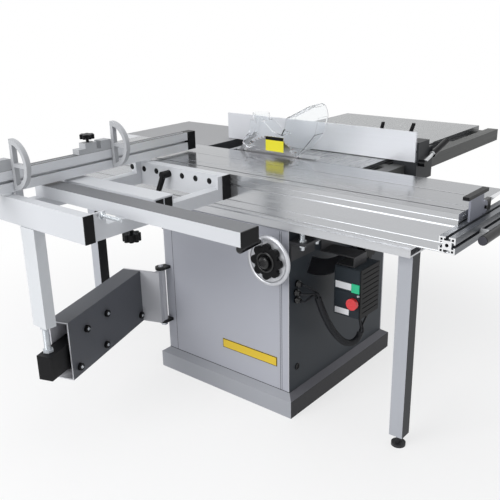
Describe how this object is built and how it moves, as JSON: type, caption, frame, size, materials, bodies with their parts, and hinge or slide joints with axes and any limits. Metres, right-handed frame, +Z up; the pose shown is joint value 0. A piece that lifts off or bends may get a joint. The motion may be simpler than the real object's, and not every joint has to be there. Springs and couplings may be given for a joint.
{
  "type": "sliding table saw",
  "caption": "Cabinet table saw with a sliding carriage, cross-cut frame on a swing arm, rip fence, tilting and rising blade and outfeed tables.",
  "frame": {"origin": "on the floor at the centre of the plinth", "axes": "+X to the operator's right, +Y the feed direction, +Z up"},
  "size_m": [2.25, 1.825, 1.058],
  "materials": {
    "cabinet_paint": "satin",
    "cast_table": "ground",
    "board_paint": "satin",
    "dark_steel": "satin",
    "rail_paint": "satin",
    "anodised": "satin",
    "zinc": "satin",
    "light_paint": "satin",
    "black_plastic": "matte",
    "conduit": "matte",
    "blade_steel": "satin",
    "wheel_metal": "polished",
    "motor_paint": "satin",
    "stop_grey": "satin",
    "clear_guard": "clear",
    "green": "gloss",
    "red": "gloss"
  },
  "bodies": {
    "machine": {"plinth": "cabinet_paint", "cabinet": "cabinet_paint", "main_table": "cast_table", "table_insert": "anodised", "right_table": "cast_table", "rear_table": "board_paint", "rear_table_arms": "dark_steel", "fence_rail": "rail_paint", "base_beam": "anodised", "beam_brackets": "dark_steel", "levelling_bolts": "zinc", "legs": "light_paint", "trunnions": "dark_steel", "switch_box": "black_plastic", "switch_bracket": "dark_steel", "cable_leads": "conduit", "switch_conduit": "conduit"},
    "tilt_unit": {"tilt_frame": "dark_steel", "riving_knife": "blade_steel"},
    "tilt_wheel": {"tilt_handwheel": "wheel_metal"},
    "wheel_grip": {"crank_grip": "black_plastic"},
    "wheel_lock": {"wheel_knob": "black_plastic"},
    "height_control": {"height_knob": "black_plastic"},
    "rise_unit": {"saw_unit": "dark_steel", "motor": "motor_paint", "drive_belt": "conduit"},
    "blade_set": {"saw_blade": "blade_steel", "arbor": "zinc"},
    "drive_pulley": {"motor_pulley": "zinc"},
    "guard": {"guard_hood": "clear_guard"},
    "slider": {"carriage": "anodised", "inner_rail": "anodised", "outer_beam": "anodised", "cross_tubes": "anodised", "support_beam": "anodised", "support_profile": "anodised", "end_caps": "black_plastic", "end_bar": "anodised", "push_handle": "black_plastic"},
    "cross_fence": {"crosscut_fence": "anodised", "fence_tip": "black_plastic", "stop_blocks": "stop_grey"},
    "stop_left": {"flip_stop_left": "stop_grey"},
    "stop_right": {"flip_stop_right": "stop_grey"},
    "lock_left": {"stop_knob_left": "black_plastic"},
    "lock_right": {"stop_knob_right": "black_plastic"},
    "clamp": {"clamp_lever": "black_plastic"},
    "beam_lock": {"beam_knob": "black_plastic"},
    "stop_flag": {"end_stop": "motor_paint"},
    "swing_arm": {"arm_box": "light_paint", "arm_bolts": "black_plastic"},
    "arm_slide": {"inner_arm": "light_paint", "post": "light_paint"},
    "rip_fence": {"fence_head": "motor_paint", "fence_face": "anodised"},
    "rail_lock": {"cam_lever": "wheel_metal"},
    "face_lock_front": {"face_lever_front": "black_plastic"},
    "face_lock_rear": {"face_lever_rear": "black_plastic"},
    "start": {"start_button": "green"},
    "stop": {"stop_button": "red"}
  },
  "joints": [
    {"name": "carriage_slide", "type": "slide", "parent": "machine", "child": "slider", "axis": [0, 1, 0], "range_m": [-0.5, 0.08]},
    {"name": "arm_swing", "type": "hinge", "parent": "machine", "child": "swing_arm", "pos_m": [-0.357, 0.293, 0.32], "axis": [0, 0, 1], "range_deg": [-6, 34]},
    {"name": "arm_extend", "type": "slide", "parent": "swing_arm", "child": "arm_slide", "axis": [-0.9432, -0.3322, 0], "range_m": [-0.04, 0.24]},
    {"name": "fence_swivel", "type": "hinge", "parent": "slider", "child": "cross_fence", "pos_m": [-0.3705, 0.318, 0.86], "axis": [0, 0, 1], "range_deg": [-45, 45]},
    {"name": "stop_flip_left", "type": "hinge", "parent": "cross_fence", "child": "stop_left", "pos_m": [-0.925, 0.318, 0.95], "axis": [-1, 0, 0], "range_deg": [0, 100]},
    {"name": "stop_flip_right", "type": "hinge", "parent": "cross_fence", "child": "stop_right", "pos_m": [-0.535, 0.318, 0.95], "axis": [-1, 0, 0], "range_deg": [0, 100]},
    {"name": "stop_lock_left", "type": "hinge", "parent": "cross_fence", "child": "lock_left", "pos_m": [-1.017, 0.318, 0.975], "axis": [0, 0, 1], "range_deg": [-180, 180]},
    {"name": "stop_lock_right", "type": "hinge", "parent": "cross_fence", "child": "lock_right", "pos_m": [-0.627, 0.318, 0.975], "axis": [0, 0, 1], "range_deg": [-180, 180]},
    {"name": "clamp_turn", "type": "hinge", "parent": "slider", "child": "clamp", "pos_m": [-0.395, 0.1831, 0.832], "axis": [1, 0, 0], "range_deg": [-45, 45]},
    {"name": "beam_lock_turn", "type": "hinge", "parent": "slider", "child": "beam_lock", "pos_m": [-0.78, -0.05, 0.75], "axis": [0, 0, 1], "range_deg": [-180, 180]},
    {"name": "end_stop_flip", "type": "hinge", "parent": "slider", "child": "stop_flag", "pos_m": [-0.215, -0.895, 0.848], "axis": [0, 1, 0], "range_deg": [0, 90]},
    {"name": "blade_tilt", "type": "hinge", "parent": "machine", "child": "tilt_unit", "pos_m": [-0.015, 0, 0.857], "axis": [0, 1, 0], "range_deg": [0, 45]},
    {"name": "tilt_wheel_turn", "type": "hinge", "parent": "machine", "child": "tilt_wheel", "pos_m": [-0.387, -0.261, 0.598], "axis": [1, 0, 0], "range_deg": [0, 1800]},
    {"name": "crank_spin", "type": "hinge", "parent": "tilt_wheel", "child": "wheel_grip", "pos_m": [-0.42, -0.23212, 0.66286], "axis": [1, 0, 0], "continuous": true},
    {"name": "blade_rise", "type": "slide", "parent": "tilt_unit", "child": "rise_unit", "axis": [0, 0, 1], "range_m": [-0.07, 0.006]},
    {"name": "height_knob_turn", "type": "hinge", "parent": "tilt_unit", "child": "height_control", "pos_m": [0.12659, -0.33, 0.51516], "axis": [0, 1, 0], "range_deg": [-3600, 360]},
    {"name": "blade_spin", "type": "hinge", "parent": "rise_unit", "child": "blade_set", "pos_m": [-0.015, 0.012, 0.775], "axis": [1, 0, 0], "continuous": true},
    {"name": "motor_spin", "type": "hinge", "parent": "rise_unit", "child": "drive_pulley", "pos_m": [0.05, 0.025, 0.655], "axis": [1, 0, 0], "continuous": true},
    {"name": "guard_lift", "type": "hinge", "parent": "tilt_unit", "child": "guard", "pos_m": [-0.015, 0.09296, 0.92106], "axis": [-1, 0, 0], "range_deg": [0, 30]},
    {"name": "rip_fence_slide", "type": "slide", "parent": "machine", "child": "rip_fence", "axis": [1, 0, 0], "range_m": [0, 0.74]},
    {"name": "rail_lock_turn", "type": "hinge", "parent": "rip_fence", "child": "rail_lock", "pos_m": [0.163, -0.52, 0.855], "axis": [0, -1, 0], "range_deg": [0, 80]},
    {"name": "face_lock_front_turn", "type": "hinge", "parent": "rip_fence", "child": "face_lock_front", "pos_m": [0.17, -0.46, 0.935], "axis": [0, 0, 1], "range_deg": [0, 90]},
    {"name": "face_lock_rear_turn", "type": "hinge", "parent": "rip_fence", "child": "face_lock_rear", "pos_m": [0.17, -0.34, 0.915], "axis": [0, 0, 1], "range_deg": [0, 90]},
    {"name": "start_press", "type": "slide", "parent": "machine", "child": "start", "axis": [1, 0, 0], "range_m": [0, 0.003], "stiffness_N_per_m": 400},
    {"name": "stop_press", "type": "slide", "parent": "machine", "child": "stop", "axis": [1, 0, 0], "range_m": [0, 0.004], "stiffness_N_per_m": 400},
    {"name": "wheel_lock_turn", "type": "hinge", "parent": "tilt_wheel", "child": "wheel_lock", "pos_m": [-0.395, -0.261, 0.598], "axis": [1, 0, 0], "range_deg": [-90, 90]}
  ],
  "couplings": [
    {"joint": "arm_swing", "follows": "carriage_slide", "rad_per_m": -1.159},
    {"joint": "arm_extend", "follows": "carriage_slide", "ratio": -0.4774},
    {"joint": "tilt_wheel_turn", "follows": "blade_tilt", "ratio": 40},
    {"joint": "height_knob_turn", "follows": "blade_rise", "rad_per_m": 880},
    {"joint": "motor_spin", "follows": "blade_spin", "ratio": 0.75}
  ]
}
